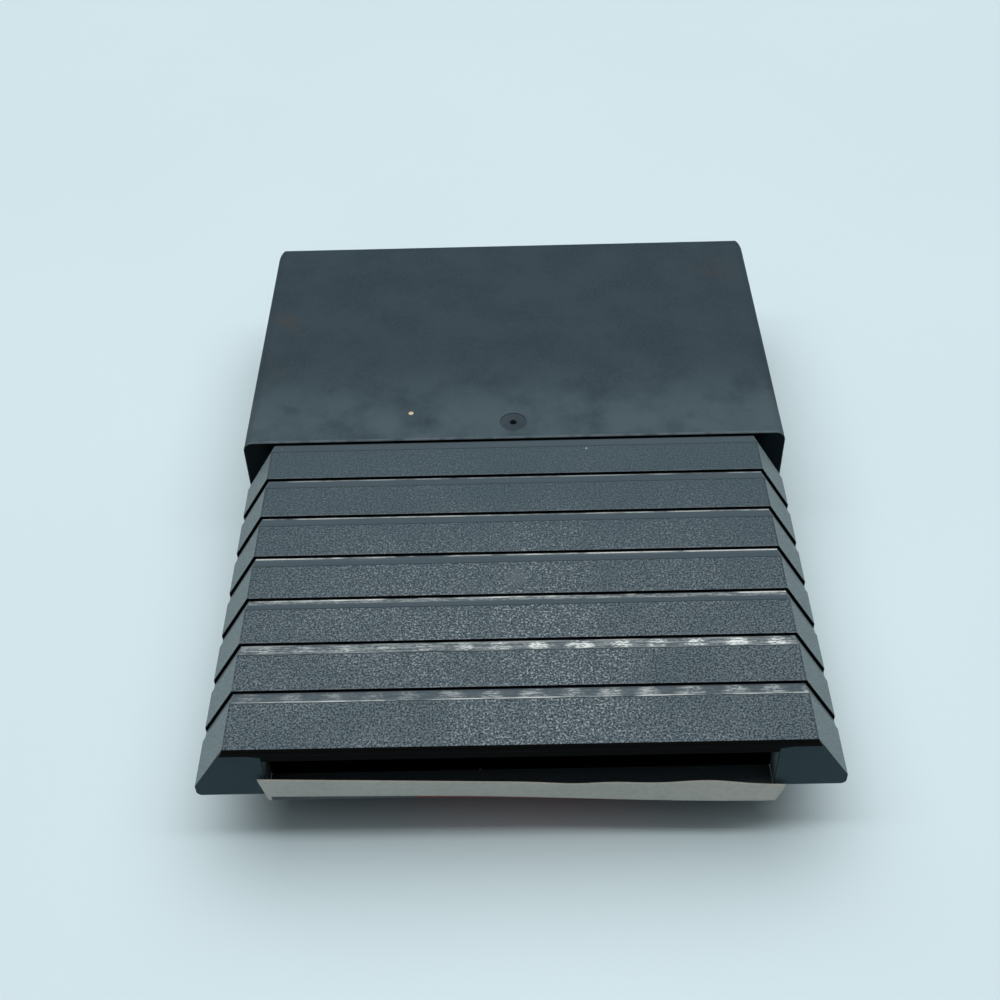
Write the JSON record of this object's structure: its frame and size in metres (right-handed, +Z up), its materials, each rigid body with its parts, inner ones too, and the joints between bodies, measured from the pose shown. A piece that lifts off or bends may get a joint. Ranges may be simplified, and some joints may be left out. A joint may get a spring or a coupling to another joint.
{
  "type": "game cartridge",
  "caption": "Plug-in game cartridge with a smooth case, a ribbed grip with slanted sides, a wrapped paper label and a circuit board edge in an open mouth.",
  "frame": {"origin": "under the middle of the cartridge, on the surface it lies on, label side down", "axes": "+X across the cartridge, +Y from the ribbed grip to the connector mouth, +Z up out of the ribbed back"},
  "size_m": [0.081, 0.107, 0.0196],
  "materials": {
    "back_plastic": "fine spark-eroded texture, coarser on the ribs",
    "front_plastic": "fine texture",
    "label_paper": "satin coated paper",
    "board_laminate": "solder mask over glass laminate",
    "contact_plating": "plated, lightly scratched",
    "chip_plastic": "moulded epoxy",
    "tinned_metal": "tinned",
    "solder": "dull solder",
    "capacitor_coat": "dipped coating"
  },
  "bodies": {
    "root": {"back_shell": "back_plastic", "front_shell": "front_plastic", "label": "label_paper", "circuit_board": "board_laminate", "contact_fingers": "contact_plating", "chip_package": "chip_plastic", "chip_leads": "tinned_metal", "capacitor_disc": "capacitor_coat", "capacitor_wires": "tinned_metal", "solder_joints": "solder"}
  },
  "joints": []
}
